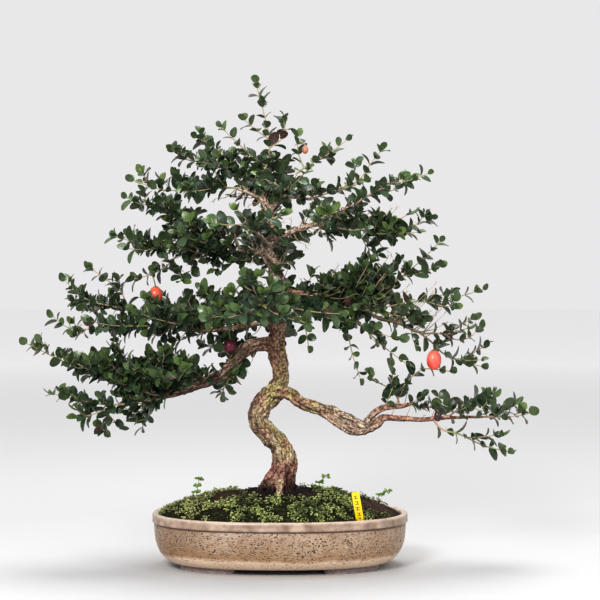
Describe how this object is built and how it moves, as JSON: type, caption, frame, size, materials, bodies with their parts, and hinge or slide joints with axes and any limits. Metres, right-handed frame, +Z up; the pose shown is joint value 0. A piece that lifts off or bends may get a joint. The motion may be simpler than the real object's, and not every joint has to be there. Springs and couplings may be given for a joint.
{
  "type": "carissa bonsai",
  "caption": "Informal upright carissa bonsai in an oval glazed pot, with a winding trunk, long low limbs, round leathery leaves and a few plum-like fruits.",
  "frame": {"origin": "middle of the pot and of the whole tree's spread, at the level that the pot's feet stand on", "axes": "+Z up, +X to the right along the pot's length, -Y towards the front"},
  "size_m": [0.9082, 0.4095, 0.8626],
  "materials": {
    "leaf": "leathery gloss",
    "mesh_plastic": "matte",
    "ripe_skin": "waxy",
    "dark_skin": "waxy",
    "label_plastic": "satin",
    "glazed_stoneware": "semi-gloss pitted glaze",
    "soil": "matte, crumbly",
    "bark": "rough, flaky",
    "weed_leaf": "soft"
  },
  "bodies": {
    "root": {"apex": "leaf", "apex_back": "leaf", "back_low": "leaf", "back_right": "leaf", "back_up": "leaf", "drain_mesh_left": "mesh_plastic", "drain_mesh_right": "mesh_plastic", "front_left": "leaf", "front_low": "leaf", "front_right": "leaf", "front_top": "leaf", "fruit_coral": "ripe_skin", "fruit_crimson": "dark_skin", "fruit_dark": "dark_skin", "fruit_pink": "ripe_skin", "fruit_red": "ripe_skin", "low_left_back": "leaf", "low_left_dark": "leaf", "low_left_drop": "leaf", "low_left_front": "leaf", "low_left_tip": "leaf", "low_left_under": "leaf", "low_right_back": "leaf", "low_right_tip": "leaf", "low_right_twigs": "leaf", "low_right_under": "leaf", "mid_left_back": "leaf", "mid_left_front": "leaf", "mid_left_inner": "leaf", "mid_left_low": "leaf", "mid_left_tip": "leaf", "mid_right_arch": "leaf", "mid_right_back": "leaf", "mid_right_front": "leaf", "mid_right_long": "leaf", "mid_right_low": "leaf", "mid_right_rise": "leaf", "mid_right_tip": "leaf", "plant_label": "label_plastic", "pot": "glazed_stoneware", "soil": "soil", "top_back": "leaf", "top_left_rise": "leaf", "top_left_tip": "leaf", "top_right_front": "leaf", "top_right_low": "leaf", "top_right_rise": "leaf", "trunk": "bark", "up_left_back": "leaf", "up_left_front": "leaf", "up_left_low": "leaf", "up_left_rise": "leaf", "up_left_tip": "leaf", "up_right_back": "leaf", "up_right_front": "leaf", "up_right_long": "leaf", "up_right_tip": "leaf", "weed_back": "weed_leaf", "weed_left": "weed_leaf", "weed_right": "weed_leaf"}
  },
  "joints": []
}
